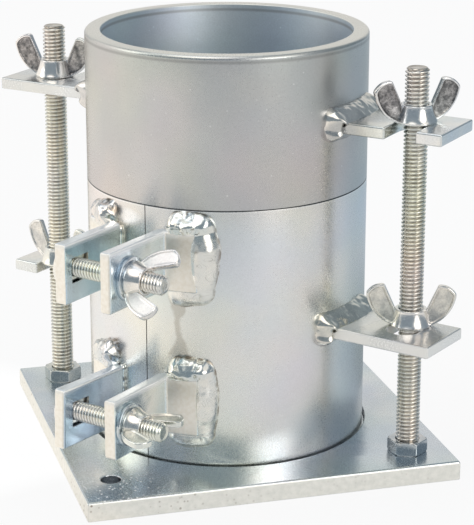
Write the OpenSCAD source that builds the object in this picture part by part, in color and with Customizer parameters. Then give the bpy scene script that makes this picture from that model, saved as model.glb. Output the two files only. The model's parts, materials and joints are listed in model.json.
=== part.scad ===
// Split proctor mould: base plate, split tube with clamps, and extension collar.
// Origin: middle of the base plate's underside. +Z is up, -Y is the front.

/* [Base plate] */
// Side of the square plate
plate_side = 152.4; // [146:0.1:200]
// Thickness of the plate
plate_t = 8; // [6:0.5:16]
// Width of the bevel along the plate's top edges
plate_bevel = 0.6; // [0.2:0.1:1.5]
// Depth of the round recess that the mould stands in
recess_depth = 3; // [1:0.5:4]
// Gap between the mould and the recess, measured on the radius
recess_clearance = 1; // [0.8:0.1:2]
// Diameter of the two spare fixing holes
fixing_hole_d = 8; // [4:0.5:9]
// Angle from the plate's diagonal to the fixing holes
fixing_hole_turn = 3.3; // [0:0.1:5]

/* [Mould] */
// Bore of the mould and the collar
bore_d = 101.6; // [90:0.1:104]
// Wall of the tube
wall_t = 6.35; // [5.5:0.05:7]
// Height of the mould from its foot to its rim
mould_h = 116.4; // [110:0.1:150]
// Height of the turned-down rim at the top of the mould
rim_h = 8; // [4:0.5:12]
// How far the rim is turned in from the outside of the tube
rim_step = 2.8; // [2:0.1:3.4]
// Width of the slit
slit_w = 0.4; // [0.2:0.1:1]
// How far the mould stands back from fully engaged, in degrees
mould_turn = 4.2; // [0:0.1:6]

/* [Collar] */
// Height of the collar
collar_h = 60.3; // [50:0.1:80]
// Radius on the collar's top outer edge
collar_round = 1.4; // [0.5:0.1:2.5]
// Gap between the mould's rim and the collar, measured on the radius
collar_clearance = 0.9; // [0.8:0.1:1.4]
// Gap between the top of the rim and the collar's step
collar_top_gap = 0.3; // [0.3:0.1:1]

/* [Studs and lock nuts] */
// Diameter over the stud's thread
stud_d = 9.5; // [8:0.1:11]
// Diameter of the circle that the studs and fixing holes stand on
stud_circle_d = 168; // [164:0.5:176]
// Height of the studs above the plate
stud_h = 158.5; // [156:0.5:190]
// Bevel on the end of each stud and bolt
thread_bevel = 1; // [0.5:0.1:1.5]
// Width of a lock nut across its flats
lock_nut_w = 14.2; // [13:0.1:17]
// Height of a lock nut
lock_nut_h = 5.5; // [4:0.5:9]
// Gap between a thread and what turns on it, measured on the radius
thread_clearance = 0.05; // [0.02:0.01:0.1]

/* [Lugs] */
// Thickness of the lugs
lug_t = 4.8; // [3:0.1:8]
// Width of a collar lug
collar_lug_w = 30; // [26:0.5:36]
// Width of a mould lug
mould_lug_w = 28.4; // [25:0.1:36]
// Length of a collar lug past the stud's circle
collar_lug_end = 17.4; // [13:0.1:26]
// Length of a mould lug past the stud's circle
mould_lug_end = 18.6; // [13:0.1:26]
// Width of the slot in each lug
slot_w = 13; // [12:0.1:15]
// Height of a collar lug's top above the collar's lower edge
collar_lug_level = 31.6; // [24:0.1:40]
// Height of a mould lug's top above the foot of the mould
mould_lug_level = 57; // [52:0.1:64]

/* [Wing nuts on the studs] */
// Diameter of the boss at its foot
stud_nut_base_d = 16.6; // [15:0.1:19]
// Diameter of the boss at its top
stud_nut_top_d = 12.8; // [12:0.1:15]
// Height of the boss
stud_nut_boss_h = 7.2; // [6:0.1:9]
// Distance from the stud's axis to a wing tip
stud_nut_tip_r = 17.9; // [16:0.1:22]
// Height of a wing
stud_nut_wing_h = 16.9; // [14:0.1:20]
// Thickness of the wings of every nut
wing_t = 2.5; // [1.5:0.1:3.5]

/* [Clamp brackets] */
// Thickness of the bracket plate
bracket_t = 5; // [3:0.1:6]
// Height of a bracket
bracket_h = 24.2; // [20:0.1:28]
// Length of a bracket's foot along the tube
foot_len = 13.5; // [8:0.5:18]
// Radius inside the bend where a bracket leaves the tube
bend_r = 3; // [1:0.5:4]
// Distance from the slit to the facing side of a left bracket
left_leg_offset = 11.6; // [8:0.1:13]
// Distance from the slit to the facing side of a right bracket
right_leg_offset = 6.9; // [5:0.1:9]
// Length of the upper left bracket past its bolt
upper_left_end = 9.3; // [8:0.1:16]
// Length of the upper right bracket past its bolt
upper_right_end = 12.4; // [8:0.1:16]
// Length of the lower left bracket past its bolt
lower_left_end = 10.8; // [8:0.1:16]
// Length of the lower right bracket past its bolt
lower_right_end = 9.2; // [8:0.1:16]
// Tilt of the lower left bracket, as it was welded on
lower_left_tilt = 2.7; // [0:0.1:4]

/* [Clamp bolts, washers and nuts] */
// Diameter over the bolt's thread
bolt_d = 7.9; // [6:0.1:9]
// Distance from the mould's axis to the upper bolt
upper_bolt_reach = 83.6; // [78:0.1:86]
// Distance from the mould's axis to the lower bolt
lower_bolt_reach = 85.4; // [78:0.1:86]
// Height of the upper bolt above the foot of the mould
upper_bolt_level = 87.8; // [80:0.1:94]
// Height of the lower bolt above the foot of the mould
lower_bolt_level = 29.2; // [26:0.1:36]
// Length of thread that stands out of the right bracket
bolt_out = 16.4; // [12:0.1:24]
// Diameter of a bolt's domed head
bolt_head_d = 18; // [15:0.5:22]
// Height of a bolt's domed head
bolt_head_h = 4.4; // [3:0.1:6]
// Gap between a bolt and its hole, measured on the radius
bolt_clearance = 0.5; // [0.4:0.1:0.8]
// Width of a bolt's square neck, under its head
neck_w = 8.6; // [8:0.1:10]
// Gap between the square neck and its hole on each side
neck_clearance = 0.7; // [0.3:0.1:0.9]
// Outer diameter of a washer
washer_d = 17.5; // [15:0.5:22]
// Thickness of a washer
washer_t = 1.6; // [1:0.1:2.5]
// Diameter of the clamp nut's boss at its foot
clamp_nut_base_d = 14.4; // [13:0.1:17]
// Diameter of the clamp nut's boss at its top
clamp_nut_top_d = 11; // [10.5:0.1:13]
// Height of the clamp nut's boss
clamp_nut_boss_h = 6.6; // [5:0.1:9]
// Distance from the bolt's axis to a wing tip
clamp_nut_tip_r = 15.2; // [13:0.1:19]
// Height of a clamp nut's wing
clamp_nut_wing_h = 16.1; // [13:0.1:19]

/* [Welds] */
// Radius of the bead above a lug
weld_r = 4; // [3:0.1:5]
// Radius of the bead below a lug
low_weld_r = 3.2; // [2:0.1:4]
// Height of the bead above a bracket's foot
foot_weld_up = 8; // [5:0.5:10]
// Height of the bead below a bracket's foot
foot_weld_down = 4.5; // [3:0.5:6]
// Width of the bead beside the end of a bracket's foot
foot_weld_side = 7; // [4:0.5:8]
// How far the bead round a bracket's foot stays behind the face of the foot
foot_weld_back = 0.4; // [0.3:0.1:1.5]
// Air left between a weld or a welded piece and what it joins
weld_gap = 0.1; // [0.05:0.01:0.2]

/* [Hidden] */
$fn = 96;
// Radius of the bore, of the tube and of the rim
bore_r = bore_d / 2;
tube_r = bore_r + wall_t;
rim_r = tube_r - rim_step;
// Heights above the plate's underside
mould_foot_z = plate_t - recess_depth;
mould_top_z = mould_foot_z + mould_h;
seam_z = mould_top_z - rim_h;
collar_top_z = seam_z + collar_h;
collar_step_z = mould_top_z + collar_top_gap;
collar_lug_top_z = seam_z + collar_lug_level;
mould_lug_top_z = mould_foot_z + mould_lug_level;
upper_bolt_z = mould_foot_z + upper_bolt_level;
lower_bolt_z = mould_foot_z + lower_bolt_level;
// The studs stand on the plate's diagonal, with their lower ends inside the plate
stud_r = stud_circle_d / 2;
right_stud_angle = -45;
left_stud_angle = 135;
fixing_hole_angles = [-135 - fixing_hole_turn, 45 - fixing_hole_turn];
collar_lug_reach = stud_r + collar_lug_end;
mould_lug_reach = stud_r + mould_lug_end;
stud_foot_z = 0.5;
stud_top_z = plate_t + stud_h;
// A lock nut's corners are bevelled at the top and the bottom
lock_nut_bevel = 0.7;
lock_nut_turn = 37.5;
// The slit faces the front left corner of the plate
slit_angle = -135 - mould_turn;
// The brackets bolt up a little above their own middle
upper_left_bracket_z = upper_bolt_z - 0.8;
upper_right_bracket_z = upper_bolt_z + 0.6;
lower_left_bracket_z = lower_bolt_z - 0.8;
lower_right_bracket_z = lower_bolt_z - 0.3;
foot_out_r = tube_r + weld_gap + bracket_t;
washer_y = right_leg_offset + bracket_t;
clamp_nut_y = washer_y + washer_t;
bolt_end_y = washer_y + bolt_out;
bolt_head_y = -left_leg_offset - bracket_t;
upper_left_reach = upper_bolt_reach + upper_left_end;
upper_right_reach = upper_bolt_reach + upper_right_end;
lower_left_reach = lower_bolt_reach + lower_left_end;
lower_right_reach = lower_bolt_reach + lower_right_end;
// Which way the wings of each nut point, in degrees
collar_nut_right_turn = 3.6;
collar_nut_left_turn = -36.8;
mould_nut_right_turn = -20.2;
mould_nut_left_turn = -55.5;
clamp_nut_upper_turn = 136;
clamp_nut_lower_turn = 177;
// Share of the left brackets' thickness that a bolt's neck takes up
neck_share = 0.7;
// The centre of a lug's bead, as shares of the bead's radius out from the tube and up from the lug
bead_out = 0.35;
bead_up = 0.3;
// The nugget at a bead's end and the web beside the lug, as shares of the bead's radius
nugget_share = 1.08;
web_share = 0.9;
// Colours of the zinc plating and of the brighter fittings
plated = [0.74, 0.75, 0.74];
bright = [0.82, 0.82, 0.80];
fitting = [0.62, 0.61, 0.58];
bead = [0.80, 0.81, 0.82];

// Points of a curve from a to b that bends towards c
function bend(a, c, b, steps) =
    [for (i = [0:steps]) let (t = i / steps) a * (1 - t) ^ 2 + c * 2 * t * (1 - t) + b * t ^ 2];

// Places its children over a stud, at a height
module at_stud(angle, z) {
    rotate(angle) translate([stud_r, 0, z]) rotate(-angle) children();
}

// Places its children with +X out through the slit and +Y to the slit's right
module slit_frame() {
    rotate(slit_angle) children();
}

// Places its children with +Z along a clamp bolt, at a distance from the slit
module bolt_frame(reach, z, y) {
    slit_frame() translate([reach, y, z]) rotate([-90, 0, 0]) children();
}

module tube(outer_r, z0, z1) {
    translate([0, 0, z0]) cylinder(r = outer_r, h = z1 - z0);
}

module base_plate() {
    color(plated) difference() {
        translate([-plate_side / 2, -plate_side / 2, 0]) cube([plate_side, plate_side, plate_t]);
        for (a = [0:90:270]) rotate(a) translate([plate_side / 2, 0, plate_t]) rotate([0, 45, 0])
            cube([plate_bevel * sqrt(2), plate_side * 1.1, plate_bevel * sqrt(2)], center = true);
        translate([0, 0, mould_foot_z]) cylinder(r = tube_r + recess_clearance, h = plate_t);
        for (a = [left_stud_angle, right_stud_angle]) at_stud(a, -1)
            cylinder(d = stud_d + 2 * thread_clearance, h = plate_t + 2);
        for (a = fixing_hole_angles) at_stud(a, -1) cylinder(d = fixing_hole_d, h = plate_t + 2);
    }
}

// A threaded rod, as the plain cylinder over its thread, with a bevelled end
module threaded_rod(d, length) {
    cylinder(d = d, h = length - thread_bevel);
    translate([0, 0, length - thread_bevel]) cylinder(d1 = d, d2 = d - 2 * thread_bevel, h = thread_bevel);
}

module stud(angle) {
    color(bright) at_stud(angle, stud_foot_z) threaded_rod(stud_d, stud_top_z - stud_foot_z);
}

module lock_nut(angle) {
    corner_r = lock_nut_w / sqrt(3);
    end_r = corner_r - lock_nut_bevel;
    color(fitting) at_stud(angle, plate_t) rotate(lock_nut_turn) difference() {
        intersection() {
            cylinder(r = corner_r, h = lock_nut_h, $fn = 6);
            cylinder(r1 = end_r, r2 = end_r + lock_nut_h, h = lock_nut_h);
            cylinder(r1 = end_r + lock_nut_h, r2 = end_r, h = lock_nut_h);
        }
        translate([0, 0, -1]) cylinder(d = stud_d + 2 * thread_clearance, h = lock_nut_h + 2);
    }
}

// Half of the split tube; side is 1 to the right of the slit and -1 to the left
module mould_half(side) {
    color(plated) slit_frame() difference() {
        union() {
            tube(tube_r, mould_foot_z, seam_z);
            tube(rim_r, mould_foot_z, mould_top_z);
        }
        tube(bore_r, mould_foot_z - 1, mould_top_z + 1);
        translate([-2 * tube_r, side > 0 ? -2 * tube_r : 0, 0])
            cube([4 * tube_r, 2 * tube_r, mould_top_z + 1]);
        translate([0, -slit_w / 2, 0]) cube([2 * tube_r, slit_w, mould_top_z + 1]);
    }
}

module collar_ring() {
    top_arc = [for (a = [0:15:90]) [tube_r - collar_round, collar_top_z - collar_round]
        + collar_round * [cos(a), sin(a)]];
    color(plated) rotate_extrude() polygon(concat(
        [[rim_r + collar_clearance, seam_z], [tube_r, seam_z]],
        top_arc,
        [[bore_r, collar_top_z], [bore_r, collar_step_z], [rim_r + collar_clearance, collar_step_z]]));
}

// The flat bar of a lug along +X, from the tube out to its end
module lug_bar(width, reach, grow) {
    translate([0, -width / 2 - grow, -lug_t - grow]) cube([reach, width + 2 * grow, lug_t + 2 * grow]);
}

// A lug with its slot open towards +Y or -Y; its top face is at z = 0
module lug_shape(width, reach, open_side) {
    difference() {
        lug_bar(width, reach, 0);
        translate([0, 0, -lug_t - 1]) cylinder(r = tube_r + weld_gap, h = lug_t + 2);
        translate([stud_r, 0, -lug_t - 1]) cylinder(d = slot_w, h = lug_t + 2);
        translate([stud_r - slot_w / 2, open_side > 0 ? 0 : -width, -lug_t - 1])
            cube([slot_w, width, lug_t + 2]);
    }
}

// Part of a ring-shaped bead around the tube, between two angles
module ring_bead(r, section_r, z, from_angle, to_angle) {
    rotate(from_angle) translate([0, 0, z]) rotate_extrude(angle = to_angle - from_angle)
        translate([r, 0]) circle(r = section_r, $fn = 32);
}

// Beads over and under a lug, with a nugget at each end
module lug_weld_shape(width, reach) {
    half_angle = asin(width / 2 / (tube_r + weld_r / 2));
    bead_r = tube_r + weld_r * bead_out;
    top_z = weld_r * bead_up;
    low_z = -lug_t - low_weld_r * bead_up;
    difference() {
        union() {
            ring_bead(bead_r, weld_r, top_z, -half_angle, half_angle);
            ring_bead(bead_r, low_weld_r, low_z, -half_angle, half_angle);
            for (a = [-half_angle, half_angle]) rotate(a) {
                translate([bead_r, 0, top_z]) sphere(r = nugget_share * weld_r, $fn = 48);
                translate([bead_r, 0, low_z]) sphere(r = nugget_share * low_weld_r, $fn = 48);
                translate([bead_r, 0, low_z]) cylinder(r = web_share * low_weld_r, h = top_z - low_z);
            }
        }
        lug_bar(width, reach, weld_gap);
        translate([0, 0, -lug_t - 3 * weld_r]) cylinder(r = tube_r + weld_gap, h = lug_t + 6 * weld_r);
    }
}

// A point on the plan at an angle from the slit and a distance from the mould's axis
function plan_point(angle, r) = r * [cos(angle), sin(angle)];
// Angle from the slit to the outer side of a leg, where its foot starts
function leg_angle(offset) = asin((offset + bracket_t) / foot_out_r);
// Angle from the slit to the far end of a foot
function foot_end_angle(offset) = leg_angle(offset) + foot_len / foot_out_r * 180 / PI;

// A bracket seen from above, for the right side of the slit
module bracket_outline(offset, reach, grow) {
    end_angle = foot_end_angle(offset) + grow / tube_r * 180 / PI;
    corner_x = sqrt((tube_r + weld_gap) ^ 2 - offset ^ 2);
    difference() {
        union() {
            translate([corner_x - bend_r, offset - grow])
                square([reach - corner_x + bend_r + grow, bracket_t + 2 * grow]);
            intersection() {
                circle(r = foot_out_r + grow);
                polygon([[0, 0], plan_point(leg_angle(offset) / 2, 2 * tube_r),
                    plan_point(end_angle, 2 * tube_r)]);
                translate([0, offset - grow]) square(2 * tube_r);
            }
        }
        translate([corner_x - bend_r, offset - bend_r]) difference() {
            square(2 * bend_r);
            translate([2 * bend_r, 2 * bend_r]) circle(r = bend_r, $fn = 48);
            translate([bend_r, bend_r * 2]) square(bend_r);
            translate([bend_r * 2, bend_r]) square(bend_r);
        }
    }
}

// A bracket as a solid block of its height, before its hole is made
module bracket_block(side, offset, reach, z, grow) {
    mirror([0, side > 0 ? 0 : 1, 0]) translate([0, 0, z - bracket_h / 2 - grow])
        linear_extrude(bracket_h + 2 * grow) bracket_outline(offset, reach, grow);
}

// Turns its children about a bolt, as a bracket welded on out of level stands
module tilted(reach, z, tilt) {
    translate([reach, 0, z]) rotate([0, -tilt, 0]) translate([-reach, 0, -z]) children();
}

module left_bracket(reach, z, bolt_reach, bolt_z, tilt) {
    hole_w = neck_w + 2 * neck_clearance;
    color(bright) slit_frame() difference() {
        tilted(bolt_reach, bolt_z, tilt) difference() {
            bracket_block(-1, left_leg_offset, reach, z, 0);
            translate([bolt_reach - hole_w / 2, bolt_head_y - 1, bolt_z - hole_w / 2])
                cube([hole_w, bracket_t + 2, hole_w]);
        }
        tube(tube_r + weld_gap, 0, mould_top_z);
    }
}

module right_bracket(reach, z, bolt_reach, bolt_z) {
    color(bright) slit_frame() difference() {
        bracket_block(1, right_leg_offset, reach, z, 0);
        translate([bolt_reach, right_leg_offset - 1, bolt_z]) rotate([-90, 0, 0])
            cylinder(r = bolt_d / 2 + bolt_clearance, h = bracket_t + 2);
        tube(tube_r + weld_gap, 0, mould_top_z);
    }
}

// One weld round the top, the far end and the bottom of a bracket's foot
module bracket_weld(side, offset, reach, z, bolt_reach, bolt_z, tilt) {
    start_angle = leg_angle(offset) + 1;
    foot_angle = foot_end_angle(offset);
    far_angle = foot_angle + foot_weld_side / tube_r * 180 / PI;
    out_r = foot_out_r - foot_weld_back;
    inner_r = 0.9 * bore_r;
    top_z = z + bracket_h / 2;
    low_z = z - bracket_h / 2;
    bead_top_z = top_z + foot_weld_up;
    bead_low_z = low_z - foot_weld_down;
    color(bead) slit_frame() difference() {
        tilted(bolt_reach, bolt_z, tilt) difference() {
            mirror([0, side > 0 ? 0 : 1, 0]) intersection() {
                rotate_extrude() polygon(concat(
                    [[inner_r, bead_low_z]],
                    bend([tube_r, bead_low_z], [out_r, bead_low_z], [out_r, low_z], 4),
                    bend([out_r, top_z], [out_r, bead_top_z], [tube_r, bead_top_z], 4),
                    [[inner_r, bead_top_z]]));
                translate([0, 0, low_z - 2 * foot_weld_up]) linear_extrude(bracket_h + 4 * foot_weld_up)
                    polygon([plan_point(start_angle, inner_r), plan_point(start_angle, 1.2 * tube_r),
                        plan_point(foot_angle + 1, out_r + 1), plan_point(far_angle, tube_r),
                        plan_point(far_angle, inner_r)]);
            }
            bracket_block(side, offset, reach, z, weld_gap);
        }
        tube(tube_r + weld_gap, 0, mould_top_z);
    }
}

module clamp_bolt(reach, z) {
    head_ball_r = (bolt_head_h ^ 2 + bolt_head_d ^ 2 / 4) / (2 * bolt_head_h);
    color(bright) bolt_frame(reach, z, bolt_head_y) {
        intersection() {
            translate([0, 0, head_ball_r - bolt_head_h]) sphere(r = head_ball_r);
            translate([0, 0, -bolt_head_h - 1]) cylinder(d = bolt_head_d + 2, h = bolt_head_h + 1);
        }
        translate([-neck_w / 2, -neck_w / 2, 0]) cube([neck_w, neck_w, neck_share * bracket_t]);
        threaded_rod(bolt_d, bolt_end_y - bolt_head_y);
    }
}

module clamp_washer(reach, z) {
    color(bright) bolt_frame(reach, z, washer_y) difference() {
        cylinder(d = washer_d, h = washer_t);
        translate([0, 0, -1]) cylinder(r = bolt_d / 2 + bolt_clearance, h = washer_t + 2);
    }
}

// One wing in the X-Z plane, out to its tip and up to its top
module wing(root_r, neck_r, boss_h, tip_r, wing_h) {
    foot = [root_r, 0];
    belly = [0.92 * tip_r, 0.22 * wing_h];
    tip = [tip_r, 0.77 * wing_h];
    shoulder = [0.86 * tip_r, 1.02 * wing_h];
    top = [0.6 * tip_r, wing_h];
    neck = [neck_r, boss_h];
    inside_boss = [0.8 * neck_r, 0];
    rotate([90, 0, 0]) linear_extrude(wing_t, center = true) polygon(concat(
        bend(foot, belly, tip, 8), bend(tip, shoulder, top, 5), [neck, inside_boss]));
}

// A wing nut standing on z = 0, with a plain bore over the thread
module wing_nut(thread_d, base_d, top_d, boss_h, tip_r, wing_h) {
    difference() {
        union() {
            cylinder(d1 = base_d, d2 = top_d, h = boss_h);
            for (a = [0, 180]) rotate(a) wing(base_d / 2 - 0.4, top_d / 2, boss_h, tip_r, wing_h);
        }
        translate([0, 0, -1]) cylinder(d = thread_d + 2 * thread_clearance, h = wing_h + 2);
    }
}

module stud_wing_nut(angle, z, turn) {
    color(fitting) at_stud(angle, z) rotate(turn)
        wing_nut(stud_d, stud_nut_base_d, stud_nut_top_d, stud_nut_boss_h, stud_nut_tip_r,
            stud_nut_wing_h);
}

module clamp_wing_nut(reach, z, turn) {
    color(fitting) bolt_frame(reach, z, clamp_nut_y) rotate(-turn)
        wing_nut(bolt_d, clamp_nut_base_d, clamp_nut_top_d, clamp_nut_boss_h, clamp_nut_tip_r,
            clamp_nut_wing_h);
}

module stud_left() { stud(left_stud_angle); }
module stud_right() { stud(right_stud_angle); }
module lock_nut_left() { lock_nut(left_stud_angle); }
module lock_nut_right() { lock_nut(right_stud_angle); }
module mould_shell_left() { mould_half(-1); }
module mould_shell_right() { mould_half(1); }

module mould_lug(angle) {
    color(bright) rotate(angle - mould_turn) translate([0, 0, mould_lug_top_z])
        lug_shape(mould_lug_w, mould_lug_reach, 1);
}

module mould_lug_weld(angle) {
    color(bead) rotate(angle - mould_turn) translate([0, 0, mould_lug_top_z])
        lug_weld_shape(mould_lug_w, mould_lug_reach);
}

module mould_lug_left() { mould_lug(left_stud_angle); }
module mould_lug_right() { mould_lug(right_stud_angle); }
module mould_lug_weld_left() { mould_lug_weld(left_stud_angle); }
module mould_lug_weld_right() { mould_lug_weld(right_stud_angle); }

module collar_lug(angle) {
    color(bright) rotate(angle) translate([0, 0, collar_lug_top_z])
        lug_shape(collar_lug_w, collar_lug_reach, -1);
}

module collar_lug_weld(angle) {
    color(bead) rotate(angle) translate([0, 0, collar_lug_top_z])
        lug_weld_shape(collar_lug_w, collar_lug_reach);
}

module collar_lug_left() { collar_lug(left_stud_angle); }
module collar_lug_right() { collar_lug(right_stud_angle); }
module collar_lug_weld_left() { collar_lug_weld(left_stud_angle); }
module collar_lug_weld_right() { collar_lug_weld(right_stud_angle); }

module bracket_upper_left() {
    left_bracket(upper_left_reach, upper_left_bracket_z, upper_bolt_reach, upper_bolt_z, 0);
}

module bracket_upper_right() {
    right_bracket(upper_right_reach, upper_right_bracket_z, upper_bolt_reach, upper_bolt_z);
}

module bracket_lower_left() {
    left_bracket(lower_left_reach, lower_left_bracket_z, lower_bolt_reach, lower_bolt_z, lower_left_tilt);
}

module bracket_lower_right() {
    right_bracket(lower_right_reach, lower_right_bracket_z, lower_bolt_reach, lower_bolt_z);
}

module bracket_weld_upper_left() {
    bracket_weld(-1, left_leg_offset, upper_left_reach, upper_left_bracket_z, upper_bolt_reach,
        upper_bolt_z, 0);
}

module bracket_weld_upper_right() {
    bracket_weld(1, right_leg_offset, upper_right_reach, upper_right_bracket_z, upper_bolt_reach,
        upper_bolt_z, 0);
}

module bracket_weld_lower_left() {
    bracket_weld(-1, left_leg_offset, lower_left_reach, lower_left_bracket_z, lower_bolt_reach,
        lower_bolt_z, lower_left_tilt);
}

module bracket_weld_lower_right() {
    bracket_weld(1, right_leg_offset, lower_right_reach, lower_right_bracket_z, lower_bolt_reach,
        lower_bolt_z, 0);
}

module clamp_bolt_upper() { clamp_bolt(upper_bolt_reach, upper_bolt_z); }
module clamp_bolt_lower() { clamp_bolt(lower_bolt_reach, lower_bolt_z); }
module clamp_washer_upper() { clamp_washer(upper_bolt_reach, upper_bolt_z); }
module clamp_washer_lower() { clamp_washer(lower_bolt_reach, lower_bolt_z); }
module clamp_wing_nut_upper() { clamp_wing_nut(upper_bolt_reach, upper_bolt_z, clamp_nut_upper_turn); }
module clamp_wing_nut_lower() { clamp_wing_nut(lower_bolt_reach, lower_bolt_z, clamp_nut_lower_turn); }
module collar_wing_nut_left() { stud_wing_nut(left_stud_angle, collar_lug_top_z, collar_nut_left_turn); }
module collar_wing_nut_right() { stud_wing_nut(right_stud_angle, collar_lug_top_z, collar_nut_right_turn); }
module mould_wing_nut_left() { stud_wing_nut(left_stud_angle, mould_lug_top_z, mould_nut_left_turn); }
module mould_wing_nut_right() { stud_wing_nut(right_stud_angle, mould_lug_top_z, mould_nut_right_turn); }

base_plate();
stud_left();
stud_right();
lock_nut_left();
lock_nut_right();
mould_shell_left();
mould_shell_right();
mould_lug_left();
mould_lug_right();
mould_lug_weld_left();
mould_lug_weld_right();
bracket_upper_left();
bracket_upper_right();
bracket_lower_left();
bracket_lower_right();
bracket_weld_upper_left();
bracket_weld_upper_right();
bracket_weld_lower_left();
bracket_weld_lower_right();
clamp_bolt_upper();
clamp_bolt_lower();
clamp_washer_upper();
clamp_washer_lower();
clamp_wing_nut_upper();
clamp_wing_nut_lower();
collar_ring();
collar_lug_left();
collar_lug_right();
collar_lug_weld_left();
collar_lug_weld_right();
collar_wing_nut_left();
collar_wing_nut_right();
mould_wing_nut_left();
mould_wing_nut_right();
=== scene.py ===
import json
import math

import bmesh
import bpy
import numpy as np
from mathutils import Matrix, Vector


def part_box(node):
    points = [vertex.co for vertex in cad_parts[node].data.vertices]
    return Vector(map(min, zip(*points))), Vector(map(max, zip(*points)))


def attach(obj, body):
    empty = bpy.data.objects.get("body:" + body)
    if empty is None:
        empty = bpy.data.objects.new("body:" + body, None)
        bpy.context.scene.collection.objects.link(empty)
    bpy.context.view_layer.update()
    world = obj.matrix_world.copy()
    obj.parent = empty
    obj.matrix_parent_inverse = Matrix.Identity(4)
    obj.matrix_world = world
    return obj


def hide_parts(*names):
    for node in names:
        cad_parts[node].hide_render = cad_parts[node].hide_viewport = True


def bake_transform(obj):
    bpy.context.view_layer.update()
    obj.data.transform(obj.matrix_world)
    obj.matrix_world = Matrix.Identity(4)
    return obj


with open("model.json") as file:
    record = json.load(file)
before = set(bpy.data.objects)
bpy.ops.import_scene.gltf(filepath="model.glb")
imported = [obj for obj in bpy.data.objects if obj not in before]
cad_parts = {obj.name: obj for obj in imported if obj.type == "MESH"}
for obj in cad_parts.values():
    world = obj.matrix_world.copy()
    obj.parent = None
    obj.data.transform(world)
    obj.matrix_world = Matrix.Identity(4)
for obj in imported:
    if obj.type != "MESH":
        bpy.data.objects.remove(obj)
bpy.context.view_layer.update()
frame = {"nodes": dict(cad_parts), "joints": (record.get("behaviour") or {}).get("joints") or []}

# Base plate: a square of sawn steel plate, zinc plated, with a round recess for the mould and holes for
# the studs. Its edges are broken with a file, and small rust pits show through the plating on its sides.

MM = 0.001
WHITE = (1, 1, 1, 1)


def add_node(tree, kind, inputs=(), **settings):
    """Adds a shader node. inputs maps a socket's name or number to its value, or to the output that
    feeds it."""
    node = tree.nodes.new("ShaderNode" + kind)
    for key, value in settings.items():
        setattr(node, key, value)
    for key, value in dict(inputs).items():
        if isinstance(value, bpy.types.NodeSocket):
            tree.links.new(value, node.inputs[key])
        else:
            node.inputs[key].default_value = value
    return node


def tree_of(*values):
    """The node tree of the first node output among some values."""
    return next(value.id_data for value in values if isinstance(value, bpy.types.NodeSocket))


def mix_colours(factor, first, second, blend="MIX"):
    """Mixes two colours and returns the output."""
    inputs = {0: factor, 6: first, 7: second}
    mixed = add_node(tree_of(*inputs.values()), "Mix", inputs, data_type="RGBA", blend_type=blend)
    return mixed.outputs[2]


def spread(value, low, high, to_low=0.0, to_high=1.0):
    """Stretches the range low to high over to_low to to_high, and clamps it there."""
    inputs = dict(enumerate((value, low, high, to_low, to_high)))
    return add_node(tree_of(value), "MapRange", inputs).outputs[0]


def calculate(operation, *values):
    """One Math node's output."""
    return add_node(tree_of(*values), "Math", dict(enumerate(values)), operation=operation).outputs[0]


def plus(first, second):
    """first + second"""
    return calculate("ADD", first, second)


def minus(first, second):
    """first - second"""
    return calculate("SUBTRACT", first, second)


def times(first, second):
    """first * second"""
    return calculate("MULTIPLY", first, second)


def larger(first, second):
    """The larger of two values."""
    return calculate("MAXIMUM", first, second)


def positive(value):
    """The value without its sign."""
    return calculate("ABSOLUTE", value)


def vector_maths(operation, *values):
    """One Vector Math node's outputs."""
    return add_node(tree_of(*values), "VectorMath", dict(enumerate(values)), operation=operation).outputs


def axes(vector):
    """The X, Y and Z of a vector."""
    return add_node(tree_of(vector), "SeparateXYZ", {0: vector}).outputs


def noise(place, scale, detail=2.0, roughness=0.5, distortion=0.0):
    """A noise texture's value."""
    inputs = {"Vector": place, "Scale": scale, "Detail": detail}
    inputs |= {"Roughness": roughness, "Distortion": distortion}
    return add_node(tree_of(place), "TexNoise", inputs).outputs[0]


def cells(place, scale):
    """A Voronoi texture's outputs. Distance is how far the middle of the nearest cell is, and Color is
    random for each cell."""
    return add_node(tree_of(place), "TexVoronoi", {"Vector": place, "Scale": scale}).outputs


def coordinates(tree):
    """Where the point is and how it faces: Object, Normal and Generated among others."""
    return add_node(tree, "TexCoord").outputs


def paint(material, **outputs):
    """Feeds outputs to the metal of a material, each by the name of its socket with _ for a space."""
    tree = material.node_tree
    for key, output in outputs.items():
        tree.links.new(output, tree.nodes["Principled BSDF"].inputs[key.replace("_", " ")])


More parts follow.
